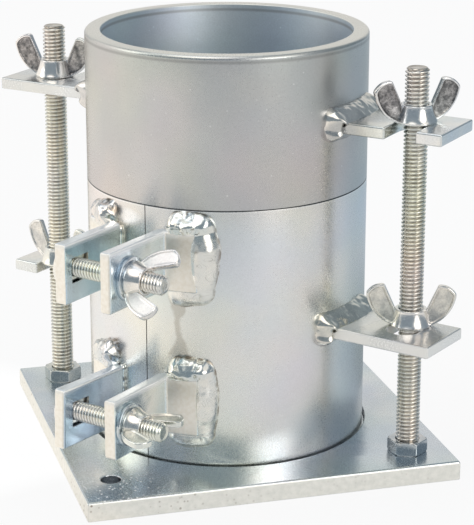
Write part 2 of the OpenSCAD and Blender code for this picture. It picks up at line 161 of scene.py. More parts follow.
def zinc_group():
    """Bright zinc plate at the point Place. Soft clouds lead the colour from a warm to a cool tint, a fine
    grain of crystals lightens and darkens it, a few crystals flash, and both stir roughness and bump."""
    group = bpy.data.node_groups.new("zinc_plate", "ShaderNodeTree")
    for way, kind, names in (
        ("INPUT", "Vector", ("Place",)),
        ("INPUT", "Color", ("Warm", "Cool")),
        ("INPUT", "Float", ("Clouds", "Crystals", "Grain", "Flash", "Roughness", "Bump")),
        ("OUTPUT", "Color", ("Colour",)),
        ("OUTPUT", "Float", ("Roughness",)),
        ("OUTPUT", "Vector", ("Normal",)),
    ):
        for name in names:
            group.interface.new_socket(name=name, in_out=way, socket_type="NodeSocket" + kind)
    given = group.nodes.new("NodeGroupInput").outputs
    result = group.nodes.new("NodeGroupOutput").inputs
    place = given["Place"]
    clouds = noise(place, given["Clouds"], 4.0)
    tint = mix_colours(spread(clouds, 0.38, 0.62), given["Warm"], given["Cool"])
    crystals = noise(place, given["Crystals"], roughness=0.7)
    light = spread(crystals, 0.3, 0.7, minus(1.0, given["Grain"]), plus(1.0, given["Grain"]))
    grained = mix_colours(1.0, tint, light, "MULTIPLY")
    tinge = add_node(group, "TexNoise", {"Vector": place, "Scale": 26.0, "Detail": 1.0}).outputs["Color"]
    paler = vector_maths("MULTIPLY_ADD", tinge, (0.16, 0.13, 0.2), (0.92, 0.935, 0.9))[0]
    grained = mix_colours(1.0, grained, paler, "MULTIPLY")
    flakes = cells(place, times(given["Crystals"], 0.5))
    flashing = times(spread(flakes["Color"], 0.9, 0.96), spread(flakes["Distance"], 0.42, 0.2))
    group.links.new(mix_colours(times(flashing, given["Flash"]), grained, WHITE), result["Colour"])
    stirred = plus(given["Roughness"], spread(crystals, 0.3, 0.7, -0.06, 0.06))
    group.links.new(plus(stirred, spread(clouds, 0.35, 0.65, -0.04, 0.04)), result["Roughness"])
    height = plus(noise(place, 260.0, 3.0), times(crystals, 0.25))
    bump = add_node(group, "Bump", {"Strength": given["Bump"], "Distance": 0.2 * MM, "Height": height})
    group.links.new(bump.outputs["Normal"], result["Normal"])
    return group


ZINC = zinc_group()


def zinc_material(name, warm, cool, roughness, clouds, crystals, grain, flash, bump=0.2):
    """A metal that takes its colour, roughness and normal from the zinc group. clouds and crystals are the
    scales of the two noises, and grain and flash how much the crystals change the colour."""
    material = bpy.data.materials.new(name)
    material.use_nodes = True
    tree = material.node_tree
    tree.nodes["Principled BSDF"].inputs["Metallic"].default_value = 1.0
    coat = tree.nodes.new("ShaderNodeGroup")
    coat.name = "coat"
    coat.node_tree = ZINC
    tree.links.new(coordinates(tree)["Object"], coat.inputs["Place"])
    numbers = {"Clouds": clouds, "Crystals": crystals, "Grain": grain, "Flash": flash, "Roughness": roughness}
    for key, value in {"Warm": (*warm, 1), "Cool": (*cool, 1), **numbers, "Bump": bump}.items():
        coat.inputs[key].default_value = value
    made = coat.outputs
    paint(material, Base_Color=made["Colour"], Roughness=made["Roughness"], Normal=made["Normal"])
    return material


def coat_of(material):
    """The outputs of a material's zinc group."""
    return material.node_tree.nodes["coat"].outputs


def add_object(name, data):
    """Links an object with this data to the scene."""
    made = bpy.data.objects.new(name, data)
    bpy.context.scene.collection.objects.link(made)
    return made


def new_piece(name, mesh, material, slot, body, *replaced, sharp=32):
    """Links a mesh as a piece of the object, smooth but for edges of more than sharp degrees, on a body."""
    mesh.materials.clear()
    mesh.materials.append(material)
    mesh.polygons.foreach_set("use_smooth", np.ones(len(mesh.polygons), bool))
    mesh.set_sharp_from_angle(angle=math.radians(sharp))
    piece = add_object(name, mesh)
    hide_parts(*replaced)
    if body:
        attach(piece, body)
    return piece


def eased_piece(node, material, slot, body, ease, steps=3, crisp=None):
    """A merged copy of a CAD node, with every edge sharper than 30 degrees rounded over to the width ease.
    crisp is (point, way, distance): the edges nearer to that line than the distance are rounded a fifth as
    much."""
    mesh = frame["nodes"][node].data.copy()
    shape = bmesh.new()
    shape.from_mesh(mesh)
    bmesh.ops.remove_doubles(shape, verts=shape.verts, dist=0.001 * MM)
    bmesh.ops.dissolve_limit(shape, angle_limit=math.radians(0.4), verts=shape.verts, edges=shape.edges)
    angles = np.array([edge.calc_face_angle(0.0) for edge in shape.edges])
    ends = np.array([[tuple(corner.co) for corner in edge.verts] for edge in shape.edges])
    shape.to_mesh(mesh)
    shape.free()
    weights = (angles > math.radians(30)).astype(np.float32)
    if crisp:
        point, way, distance = crisp
        apart = ends.mean(axis=1) - np.array(point)
        from_line = np.linalg.norm(np.cross(apart, np.array(way)), axis=1)
        weights[from_line < distance] *= 0.2
    mesh.attributes.new("bevel_weight_edge", "FLOAT", "EDGE").data.foreach_set("value", weights)
    piece = new_piece(node + "_eased", mesh, material, slot, body, node)
    rounding = piece.modifiers.new("rounding", "BEVEL")
    rounding.width = ease
    rounding.segments = steps
    rounding.limit_method = "WEIGHT"
    rounding.harden_normals = True
    rounding.use_clamp_overlap = False
    return piece


PLATE_EASE = 0.5 * MM
PLATE_RUST = (0.20, 0.14, 0.10, 1)
POWDERED_CORNER = (-60 * MM, -66 * MM)
plate_material = zinc_material(
    "plate_zinc", (0.75, 0.78, 0.80), (0.62, 0.70, 0.76), roughness=0.25,
    clouds=28, crystals=1900, grain=0.12, flash=0.5,
)


def add_plate_sides():
    """Paints the sawn sides of the plate pale and dull, with rust pits where a coarse noise runs high, and
    the top near one corner with white specks."""
    coat = coat_of(plate_material)
    place = coordinates(plate_material.node_tree)["Object"]
    x, y, z = axes(place)
    side = spread(larger(positive(x), positive(y)), PLATE_HALF - 0.3 * MM, PLATE_HALF - 0.05 * MM)
    mottle = spread(noise(place, 420.0, 5.0), 0.35, 0.65)
    pale = mix_colours(mottle, (0.97, 0.96, 0.92, 1), (0.87, 0.87, 0.83, 1))
    often = times(spread(noise(place, 70.0), 0.44, 0.6), spread(x, 0, -50 * MM, 0.15, 1.0))
    pitted = times(spread(cells(place, 430.0)["Distance"], 0.26, 0.14), often)
    sawn = mix_colours(times(pitted, 0.75), pale, PLATE_RUST)
    from_corner = vector_maths("DISTANCE", place, (*POWDERED_CORNER, PLATE_TOP))["Value"]
    grit = cells(place, 640.0)
    grains = times(spread(grit["Distance"], 0.36, 0.24), spread(grit["Color"], 0.54, 0.56))
    specks = times(grains, spread(from_corner, 28 * MM, 9 * MM))
    specks = times(specks, spread(z, PLATE_TOP - 0.5 * MM, PLATE_TOP - 0.1 * MM))
    paint(
        plate_material,
        Base_Color=mix_colours(side, mix_colours(specks, coat["Colour"], WHITE), sawn),
        Metallic=minus(1.0, specks),
        Roughness=plus(coat["Roughness"], times(side, 0.22)),
    )


PLATE_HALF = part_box("base_plate")[1].x
PLATE_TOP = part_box("base_plate")[1].z
add_plate_sides()
eased_piece("base_plate", plate_material, "plate", "base", PLATE_EASE)

# Studs: two lengths of threaded rod, screwed into the plate. Their ends are sawn, bevelled and slightly
# hollow, and the zinc is thin and shiny on the thread.

STUD_PITCH = 1.5875 * MM
STUD_CREST_R = 4.72 * MM
STUD_ROOT_R = 3.85 * MM
THREAD_BEVEL = 1.0 * MM
TURN = 2 * math.pi


def grid_mesh(name, points, wrap_rows=False, wrap_columns=True, cap_rows=False, **values):
    """A mesh over points of shape (rows, columns, 3), with a quad between each four neighbours. Either way
    can wrap round, and points that coincide are merged, so a row drawn to one point closes as a pole. Each
    of the values has one number for each point, which the material reads by the value's name."""
    rows, columns = points.shape[:2]
    row = np.arange(rows if wrap_rows else rows - 1)[:, None]
    column = np.arange(columns if wrap_columns else columns - 1)[None, :]
    below = (row + 1) % rows
    beside = (column + 1) % columns
    here = row * columns
    under = below * columns
    corners = (here + column, here + beside, under + beside, under + column)
    faces = np.stack(np.broadcast_arrays(*corners), axis=-1).reshape(-1, 4).tolist()
    if cap_rows:
        faces += [list(range(columns)), list(range((rows - 1) * columns, rows * columns))]
    mesh = bpy.data.meshes.new(name)
    mesh.from_pydata(points.reshape(-1, 3).tolist(), [], faces)
    for key, value in values.items():
        mesh.attributes.new(key, "FLOAT", "POINT").data.foreach_set("value", value.ravel().astype(np.float32))
    shape = bmesh.new()
    shape.from_mesh(mesh)
    bmesh.ops.remove_doubles(shape, verts=shape.verts, dist=0.0005 * MM)
    bmesh.ops.recalc_face_normals(shape, faces=shape.faces)
    shape.to_mesh(mesh)
    shape.free()
    return mesh


def polar(r, angle, z):
    """Points (r cos angle, r sin angle, z), from arrays that may have different shapes."""
    return np.stack(np.broadcast_arrays(r * np.cos(angle), r * np.sin(angle), z), axis=-1)


def placed(points, origin, x_way, y_way, z_way):
    """Points carried from local axes to the object's frame: origin + x times x_way + y times y_way + ..."""
    return np.array(origin, float) + points @ np.array([x_way, y_way, z_way], float)


def thread_points(length, crest_r, root_r, pitch, end_soil):
    """A screw along +Z. With p the height in pitches less the angle in turns, the radius goes from root to
    crest and back once as p grows by one, with flats on both, and is cut back by a cone at the top end.
    The end face is a shallow dish. The second result is how deep in the groove each point lies."""
    sides = 40
    rows_per_pitch = 12
    z = np.linspace(0, length, int(round(length / pitch * rows_per_pitch)))[:, None]
    turn = np.linspace(0, 1, sides, endpoint=False)[None, :]
    wave = np.abs(2 * np.mod(z / pitch - turn, 1) - 1)
    flank_start = 0.14
    flank_end = 0.76
    flank = np.clip((wave - flank_start) / (flank_end - flank_start), 0, 1)
    radius = root_r + (crest_r - root_r) * flank
    radius = np.minimum(radius, crest_r - THREAD_BEVEL + (length - z))
    on_bevel = length - z < THREAD_BEVEL
    deep = np.clip((crest_r - radius) / (crest_r - root_r), 0, 1) * (length - z > THREAD_BEVEL)
    rim = min(crest_r - THREAD_BEVEL, radius[-1].min())
    dish = np.array([[0.97, 0.0], [0.9, 0.12], [0.5, 0.16], [0.0, 0.18]])
    on_dish = np.full((len(dish), sides), end_soil)
    deep = np.vstack([np.zeros((1, sides)), np.maximum(deep, end_soil * on_bevel), on_dish])
    radius = np.vstack([np.zeros((1, sides)), radius, np.repeat(rim * dish[:, :1], sides, axis=1)])
    height = np.vstack([z[:1], z, length - dish[:, 1:] * MM])
    return polar(radius, turn * TURN, height), deep


def thread_piece(node, material, slot, body, origin, ways, **sizes):
    """A thread in place of a node, on local axes at an origin. sizes are those of thread_points."""
    screw, grooves = thread_points(**sizes)
    mesh = grid_mesh(node, placed(screw, origin, *ways), soil=grooves)
    new_piece(node + "_thread", mesh, material, slot, body, node, sharp=75)


def mesh_value(tree, name):
    """The value of this name at each point of the mesh."""
    return add_node(tree, "Attribute", attribute_name=name).outputs["Fac"]


def add_soil(material, colour):
    """Darkens a material towards a colour by a value of the mesh: painted shade in the root of a thread, and
    dirt on its sawn end. The share is a noise times that value to the power 1.6."""
    tree = material.node_tree
    strength = spread(noise(coordinates(tree)["Object"], 180.0), 0.3, 0.7, 0.3, 0.7)
    share = times(calculate("POWER", mesh_value(tree, "soil"), 1.6), strength)
    paint(material, Base_Color=mix_colours(share, coat_of(material)["Colour"], colour))


stud_material = zinc_material(
    "stud_zinc", (0.92, 0.89, 0.81), (0.84, 0.83, 0.79), roughness=0.2,
    clouds=60, crystals=1500, grain=0.08, flash=0.2,
)
add_soil(stud_material, (0.17, 0.14, 0.11, 1))
STUD_WAYS = ((1, 0, 0), (0, 1, 0), (0, 0, 1))
stud_centres = {}
for side in ("left", "right"):
    low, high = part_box("stud_" + side)
    stud_centres[side] = ((low.x + high.x) / 2, (low.y + high.y) / 2)
    thread_piece(
        "stud_" + side, stud_material, "stud", "base", (*stud_centres[side], low.z), STUD_WAYS,
        length=high.z - low.z, crest_r=STUD_CREST_R, root_r=STUD_ROOT_R, pitch=STUD_PITCH, end_soil=1.1,
    )

# Lock nuts: a thin hexagon nut on each stud, screwed down on the plate. The corners are bevelled by a
# cone above and below, and the flats are smooth and a little darker than the plate.

LOCK_NUT_EASE = 0.35 * MM
lock_nut_material = zinc_material(
    "lock_nut_zinc", (0.72, 0.73, 0.72), (0.50, 0.55, 0.58), roughness=0.14,
    clouds=150, crystals=1600, grain=0.1, flash=0.2,
)
for side in ("left", "right"):
    eased_piece("lock_nut_" + side, lock_nut_material, "lock_nut", "base", LOCK_NUT_EASE)

# Mould: one steel tube with one slit, turned down at the top to make the rim that the collar sits over.
# The slit springs open when the clamps let go.

SLIT_HALF = 0.2 * MM
TUBE_R = (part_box("collar_ring")[1].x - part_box("collar_ring")[0].x) / 2
BORE_R = 50.8 * MM
RIM_R = TUBE_R - 2.8 * MM
TUBE_EASE = 0.35 * MM
TUBE_STEPS = 240
MOULD_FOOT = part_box("mould_shell_left")[0].z
MOULD_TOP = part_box("mould_shell_left")[1].z
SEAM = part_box("collar_ring")[0].z
SEAM_SHADOW = (0.1, 0.11, 0.12, 1)
joints = {joint["name"]: joint for joint in frame["joints"]}
spring_line = joints["mould_spring_open"]["pos_m"]
SLIT_ANGLE = math.atan2(-spring_line[1], -spring_line[0])
OUT_OF_SLIT = np.array([math.cos(SLIT_ANGLE), math.sin(SLIT_ANGLE), 0])
RIGHT_OF_SLIT = np.array([-math.sin(SLIT_ANGLE), math.cos(SLIT_ANGLE), 0])


def corner_arc(centre, radius, start, end, steps=5):
    """Points of a round corner in a profile, from one angle to another in degrees, as (r, z)."""
    angle = np.radians(np.linspace(start, end, steps))
    return np.array(centre) + radius * np.stack([np.cos(angle), np.sin(angle)], axis=-1)


def turned_points(profile, angles):
    """A profile of (r, z) points swept round the Z axis: (r cos a, r sin a, z) for each angle a."""
    return polar(profile[None, :, 0], np.asarray(angles)[:, None], profile[None, :, 1])


mould_profile = np.vstack([
    corner_arc((TUBE_R - TUBE_EASE, MOULD_FOOT + TUBE_EASE), TUBE_EASE, -90, 0),
    corner_arc((TUBE_R - TUBE_EASE, SEAM - TUBE_EASE), TUBE_EASE, 0, 90),
    [[RIM_R, SEAM]],
    corner_arc((RIM_R - TUBE_EASE, MOULD_TOP - TUBE_EASE), TUBE_EASE, 0, 90),
    corner_arc((BORE_R + TUBE_EASE, MOULD_TOP - TUBE_EASE), TUBE_EASE, 90, 180),
    [[BORE_R, MOULD_FOOT]],
])
slit_turn = SLIT_HALF / TUBE_R
round_the_tube = SLIT_ANGLE + np.linspace(slit_turn, TURN - slit_turn, TUBE_STEPS + 1)
mould_points = turned_points(mould_profile, round_the_tube)
rest_x, rest_y, rest_z = np.moveaxis(mould_points, -1, 0)
mould_mesh = grid_mesh("mould_tube", mould_points, cap_rows=True, rest_x=rest_x, rest_y=rest_y, rest_z=rest_z)
mould_material = zinc_material(
    "mould_zinc", (0.885, 0.865, 0.82), (0.81, 0.835, 0.85), roughness=0.29,
    clouds=22, crystals=2100, grain=0.07, flash=0.3, bump=0.1,
)


def from_axis(place):
    """How far a point lies from the Z axis."""
    return vector_maths("LENGTH", vector_maths("MULTIPLY", place, (1, 1, 0))[0])["Value"]


def shadow_line(gap):
    """1 beside the seam between mould and collar, fading to 0 where the gap to it is a third of a
    millimetre."""
    return spread(gap, 0.34 * MM, 0.16 * MM)


def add_mould_marks():
    """Marks on the outside of the mould, placed by the arc from the slit and the height: a stain that ran
    down from the upper weld to the lower one, wide at both ends, a painted patch of light at the left, a
    painted highlight on the edge below the seam, and a painted shadow at the seam. They go by the points'
    places at rest, so that they turn with the tube."""
    tree = mould_material.node_tree
    x, y, z = (mesh_value(tree, "rest_" + axis) for axis in "xyz")
    place = add_node(tree, "CombineXYZ", {0: x, 1: y, 2: z}).outputs[0]
    tree.links.new(place, tree.nodes["coat"].inputs["Place"])
    arc = times(minus(calculate("ARCTAN2", y, x), SLIT_ANGLE), TUBE_R)
    swing = times(minus(noise(place, 110.0, 3.0), 0.5), 7 * MM)
    aside = positive(minus(plus(arc, swing), 14.5 * MM))
    from_middle = positive(minus(z, 65 * MM))
    half_width = spread(from_middle, 4 * MM, 13 * MM, 1.5 * MM, 5.5 * MM)
    inside = spread(minus(aside, half_width), 0.4 * MM, -0.8 * MM)
    stain = times(times(inside, spread(from_middle, 14 * MM, 11 * MM)), 0.55)
    stained = mix_colours(stain, coat_of(mould_material)["Colour"], (0.47, 0.44, 0.38, 1))
    # A painted patch of light beside the slit.
    across = calculate("DIVIDE", plus(arc, 8.8 * MM), 6.5 * MM)
    up = calculate("DIVIDE", minus(z, 107.3 * MM), 3.2 * MM)
    away = plus(times(across, across), times(up, up))
    with_painted_light_patch = mix_colours(spread(away, 1.3, 0.3), stained, WHITE)
    below = minus(SEAM, z)
    # A painted highlight along the mould's rounded edge, just below the seam.
    edge = spread(positive(minus(below, 0.55 * MM)), 0.3 * MM, 0.1 * MM)
    with_painted_edge_highlight = mix_colours(times(edge, 0.6), with_painted_light_patch, WHITE)
    outside = spread(from_axis(place), RIM_R - 0.6 * MM, RIM_R - 0.3 * MM)
    paint(mould_material, Base_Color=mix_colours(times(shadow_line(below), outside), with_painted_edge_highlight, SEAM_SHADOW))


add_mould_marks()
mould_tube = new_piece(
    "mould_tube", mould_mesh, mould_material, "mould", None, "mould_shell_left", "mould_shell_right"
)
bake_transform(mould_tube)

# Mould lugs: a flat bar on each side of the tube, with a slot that swings in under a stud's wing nut.
# They are cut from bright bar, and their edges are slightly rounded.

LUG_EASE = 0.75 * MM
HALVES = {"right": "mould", "left": "mould_left"}
# Painted shade along each lug, and painted highlights beside its weld and on its sides and edges.
MOULD_LUG_PAINTED_LIGHT = {
    "right": {"inner": 1.0, "outer": 0.8, "painted_glow_by_weld": 0.45, "pale": 0.75},
    "left": {"inner": 1.0, "outer": 1.0, "painted_glow_by_weld": 0.2, "pale": 0.3},
}


def lug_zinc(name, inner, outer, painted_glow_by_weld, pale):
    """Zinc for one lug, with painted light and shade. Its colour is multiplied by the grey inner beside the
    weld and by outer at the free end, a painted shade along the lug. The next argument tells how far a
    painted white highlight beside the weld hides the metal, and pale how far the sheared sides and the
    rounded edges carry a painted cream highlight."""
    material = zinc_material(
        name, (0.90, 0.89, 0.84), (0.80, 0.84, 0.85), roughness=0.22,
        clouds=55, crystals=1800, grain=0.1, flash=0.3,
    )
    spot = coordinates(material.node_tree)
    ragged = plus(from_axis(spot["Object"]), times(noise(spot["Object"], 190.0, 3.0), 8 * MM))
    outward = spread(ragged, TUBE_R + 15 * MM, TUBE_R + 25 * MM)
    painted_shade_tone = mix_colours(outward, (inner, inner, inner, 1), (outer, outer, outer, 1))
    shade_toned = mix_colours(1.0, coat_of(material)["Colour"], painted_shade_tone, "MULTIPLY")
    painted_highlight = times(minus(1.0, outward), painted_glow_by_weld)
    highlighted = mix_colours(painted_highlight, shade_toned, (0.95, 0.95, 0.93, 1))
    side = times(spread(positive(axes(spot["Normal"])[2]), 0.93, 0.4), pale)
    paint(
        material,
        Base_Color=mix_colours(side, highlighted, (0.98, 0.96, 0.91, 1)),
        Metallic=minus(1.0, larger(painted_highlight, side)),
    )
    return material


for side, painted_light in MOULD_LUG_PAINTED_LIGHT.items():
    mould_lug_material = lug_zinc("mould_lug_zinc_" + side, **painted_light)
    eased_piece("mould_lug_" + side, mould_lug_material, "lug", HALVES[side], LUG_EASE)

# Lug welds: a bead laid by hand all round the end of a lug, where it meets the tube. It is a sloping
# fillet above, thinner below, with two rounded lobes at each end, and the zinc shines on its lumps.

LUG_THICKNESS = 4.8 * MM
MOULD_LUG_WIDTH = 28.4 * MM
LUG_WELD_REACH = (5.3 * MM, 4.4 * MM, 3.6 * MM)
LUG_WELD_RISE = (6.4 * MM, 4.6 * MM, 4.2 * MM)
LUG_WELD_FULLNESS = 1.25
LUG_WELD_LUMPS = (0.09, 0.07, 0.07)
UPPER_LOBE = (1.6 * MM, 0.9 * MM, 3.0 * MM, 2.3 * MM)
LOWER_LOBE = (1.9 * MM, -1.1 * MM, 3.1 * MM, 2.1 * MM)


def rectangle_path(low_arc, high_arc, low_z, high_z, step, closed):
    """Stations round a rectangle drawn on the tube: a point and the way out from it, as (arc, z). They go
    along the top, down the far side and back along the bottom, and up the near side if it is closed, and
    fan round each corner."""
    corners = np.array([[low_arc, high_z], [high_arc, high_z], [high_arc, low_z], [low_arc, low_z]])
    start_angles = (90, 0, -90, -180)
    points = []
    angles = []
    for k in range(4 if closed else 3):
        a = corners[k]
        b = corners[(k + 1) % 4]
        count = max(2, int(np.linalg.norm(b - a) / step))
        points.append(a + (b - a) * np.linspace(0, 1, count)[:, None])
        angles.append(np.full(count, float(start_angles[k])))
        if closed or k < 2:
            fan = np.linspace(start_angles[k], start_angles[k] - 90, 10)[1:-1]
            points.append(np.repeat(b[None, :], len(fan), axis=0))
            angles.append(fan)
    angle = np.radians(np.concatenate(angles))
    return np.vstack(points), np.stack([np.cos(angle), np.sin(angle)], axis=-1)


def hills(points, size, seed):
    """Smooth random hills between about -1 and 1: the mean of sine waves of random direction and phase,
    whose wavelengths are near size."""
    random = np.random.default_rng(seed)
    ways = random.normal(size=(14, 3))
    ways /= np.linalg.norm(ways, axis=1, keepdims=True)
    waves = ways * (TURN / size * random.uniform(0.6, 1.5, (14, 1)))
    phases = random.uniform(0, TURN, 14)
    return np.sin(points @ waves.T + phases).mean(axis=-1) * 2.2


EVEN_BEAD = ((0, 1), (1, 1))


def weld_points(
    path, centre_angle, reach, rise, fullness, lumps, seed,
    taper=None, nuggets=(), overlap=0.25, swells=EVEN_BEAD,
):
    """A bead round a path on the tube. Its section is a quarter of a superellipse, from the height rise at
    the plate it joins to the distance reach away on the tube, closed inside the two. reach, rise and lumps
    hold values above, beside and below, which blend with the square of the way out. Hills of the share
    lumps swell it, a faint ripple marks each pass, and nuggets (arc, z, radius, height) stand on it, each
    with a shallow ring round its middle. An open bead grows from nothing over the length taper at both
    ends, overlap is how far it lies back over the plate, as a share of reach, and swells are shares of its
    length with the factors that scale it there."""
    point, way = path
    up = np.clip(way[:, 1], 0, 1) ** 2
    down = np.clip(-way[:, 1], 0, 1) ** 2
    aside = way[:, 0] ** 2
    length = np.concatenate([[0], np.cumsum(np.linalg.norm(np.diff(point, axis=0), axis=1))])
    size = np.interp(length / length[-1], *swells)
    if taper:
        near_end = np.minimum(length, length[-1] - length) / taper
        size = size * np.sqrt(np.clip(1 - (1 - np.clip(near_end, 0, 1)) ** 2, 0, 1))
    by_way = np.stack([up, aside, down])
    reached = np.array(reach) @ by_way * size
    risen = np.array(rise) @ by_way * size
    lump = (np.array(lumps) @ by_way)[:, None]
    t = np.linspace(0, math.pi / 2, 15)
    across = np.concatenate([[-overlap, -overlap * 0.5], np.sin(t) ** (2 / fullness), [1.03, -overlap]])
    height = np.concatenate([[0.86, 0.99], np.cos(t) ** (2 / fullness), [-0.08, -0.08]])
    shown = np.concatenate([[0, 0.6], np.sin(2 * t) ** 0.5 * 0.8 + 0.2, [0, 0]])
    span = reached[:, None] * across
    out = risen[:, None] * height
    on_tube = point[:, None, :] + way[:, None, :] * span[..., None]
    spots = np.concatenate([on_tube, out[..., None]], axis=-1)
    rough = hills(spots, 8.5 * MM, seed) + (0.2 + 0.3 * up[:, None]) * hills(spots, 3.0 * MM, seed + 100)
    bow = length[:, None] / (2.4 * MM) * TURN + 3.2 * across + 1.5 * hills(spots, 12 * MM, seed + 200)
    ripple = np.sin(bow) * 0.09
    swell = 1 + lump * (rough + ripple) * shown
    arc, z = np.moveaxis(point[:, None, :] + way[:, None, :] * (span * swell)[..., None], -1, 0)
    out = out * swell
    for nugget_arc, nugget_z, radius, extra in nuggets:
        away = ((arc - nugget_arc) ** 2 + (z - nugget_z) ** 2) / radius ** 2
        ring = 0.1 * np.exp(-((np.sqrt(away) - 0.6) / 0.16) ** 2)
        out = out + extra * (np.exp(-away ** 1.5) - ring) * (height > 0)
    return polar(TUBE_R + out, centre_angle + arc / TUBE_R, z)


# A darker copy of the weld zinc for the lug welds, as painted shade.
shaded_weld_material = zinc_material(
    "shaded_weld_zinc", (0.82, 0.80, 0.75), (0.62, 0.62, 0.60), roughness=0.18,
    clouds=120, crystals=1500, grain=0.06, flash=0.1,
)


def lug_weld(part, side, width, body, seed):
    """The closed bead round one lug of the mould or the collar. The collar's lug is found from its own
    box, and the mould's stands a quarter turn from the slit. At each end stand two lobes, given as their
    place past and above the lug's corner, radius and height."""
    node = f"{part}_lug_weld_{side}"
    low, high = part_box(f"{part}_lug_{side}")
    if part == "mould":
        centre_angle = SLIT_ANGLE + math.radians(90 if side == "right" else -90)
    else:
        centre_angle = math.atan2(low.y + high.y, low.x + high.x)
    half = TUBE_R * math.asin(width / 2 / TUBE_R)
    bottom = high.z - LUG_THICKNESS
    path = rectangle_path(-half, half, bottom, high.z, 0.6 * MM, closed=True)
    lobes = [
        (sign * (half + past), corner_z + above, radius, extra)
        for sign in (-1, 1)
        for corner_z, (past, above, radius, extra) in ((high.z, UPPER_LOBE), (bottom, LOWER_LOBE))
    ]
    points = weld_points(
        path, centre_angle, LUG_WELD_REACH, LUG_WELD_RISE, LUG_WELD_FULLNESS, LUG_WELD_LUMPS, seed,
        nuggets=lobes,
    )
    new_piece(node + "_bead", grid_mesh(node, points, wrap_rows=True), shaded_weld_material, "weld", body, node)


for side, seed in (("right", 11), ("left", 12)):
    lug_weld("mould", side, MOULD_LUG_WIDTH, HALVES[side], seed)

# Clamp brackets: four strips of flat bar, bent to stand out beside the slit. The leg carries the clamp
# bolt and the foot lies on the tube. Their faces are glossier than the tube, and their edges are rounded.

BRACKET_EASE = 1.15 * MM
BOLT_HOLE_FIELD_R = 9.5 * MM
BEND_BEAD_R = 1.35 * MM
BEND_BEAD_INSET = 1.2 * MM
LEG_OFFSETS = {"right": 6.9 * MM, "left": 11.6 * MM}
# The right pair has the lit tints, and the left pair a darker, bluer copy as painted shade.
BRACKET_LIT_AND_SHADED_TINTS = {
    "right": ((0.83, 0.88, 0.92), (0.66, 0.77, 0.86)),
    "left": ((0.70, 0.81, 0.90), (0.54, 0.67, 0.79)),
}


def dot(first, second):
    """The dot product of two vectors."""
    return vector_maths("DOT_PRODUCT", first, second)["Value"]


def bracket_zinc(side):
    """Zinc for the two brackets of a side. Their ends, which face straight out from the slit, are painted a
    creamy and duller white as painted warm light, the rounded upper edges carry a pale painted highlight,
    and the top of each face has a thin painted white highlight."""
    material = zinc_material(
        "bracket_zinc_" + side, *BRACKET_LIT_AND_SHADED_TINTS[side], roughness=0.18,
        clouds=45, crystals=1700, grain=0.08, flash=0.2,
    )
    coat = coat_of(material)
    spot = coordinates(material.node_tree)
    end = spread(dot(spot["Normal"], tuple(OUT_OF_SLIT)), 0.5, 0.8)
    mottle = spread(noise(spot["Object"], 700.0, 3.0), 0.35, 0.65)
    painted_cream = mix_colours(mottle, (0.99, 0.96, 0.90, 1), (0.92, 0.88, 0.80, 1))
    edge = spread(positive(minus(axes(spot["Normal"])[2], 0.5)), 0.36, 0.16)
    painted_edge_highlight = mix_colours(edge, coat["Colour"], WHITE)
    z = axes(spot["Object"])[2]
    lower, lower_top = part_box("bracket_lower_" + side)
    upper, upper_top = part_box("bracket_upper_" + side)
    climbs = plus(spread(z, lower.z, lower_top.z), spread(z, upper.z, upper_top.z))
    share = minus(climbs, calculate("GREATER_THAN", z, upper.z))
    painted_highlight = times(spread(share, 0.89, 0.96), 0.6)
    paint(
        material,
        Base_Color=mix_colours(end, mix_colours(painted_highlight, painted_edge_highlight, (0.98, 0.98, 0.96, 1)), painted_cream),
        Metallic=minus(1.0, larger(times(edge, 0.7), painted_highlight)),
        Roughness=plus(coat["Roughness"], times(end, 0.2)),
    )
    return material


for side in ("right", "left"):
    material = bracket_zinc(side)
    for level in ("upper", "lower"):
        node = f"bracket_{level}_{side}"
        bolt_line = (joints[f"clamp_nut_{level}_spin"]["pos_m"], RIGHT_OF_SLIT, BOLT_HOLE_FIELD_R)
        eased_piece(node, material, "bracket", HALVES[side], BRACKET_EASE, 4, bolt_line)


weld_material = zinc_material(
    "weld_zinc", (0.88, 0.87, 0.83), (0.72, 0.77, 0.80), roughness=0.15,
    clouds=120, crystals=1500, grain=0.05, flash=0.1,
)


def add_weld_marks():
    """Thin dark lines where one pool of weld froze on another, from the contours of a slow noise. The bead
    is painted paler, a painted highlight, and made duller by a value of the mesh, and scorched brown in
    patches by its value rim."""
    tree = weld_material.node_tree
    coat = coat_of(weld_material)
    place = coordinates(tree)["Object"]
    contour = calculate("PINGPONG", times(noise(place, 95.0, 1.5, distortion=0.8), 9.0), 0.5)
    line = times(spread(contour, 0.07, 0.0), spread(noise(place, 240.0), 0.42, 0.6))
    drawn = mesh_value(tree, "drawn")
    side_painted_pale = mix_colours(times(drawn, 0.7), coat["Colour"], (0.96, 0.93, 0.88, 1))
    lined = mix_colours(times(line, 0.5), side_painted_pale, (0.2, 0.18, 0.15, 1))
    scorch = times(mesh_value(tree, "rim"), spread(noise(place, 330.0), 0.42, 0.56, 0.0, 0.85))
    paint(
        weld_material,
        Base_Color=mix_colours(scorch, lined, (0.24, 0.19, 0.14, 1)),
        Roughness=plus(coat["Roughness"], times(drawn, 0.16)),
    )


add_weld_marks()


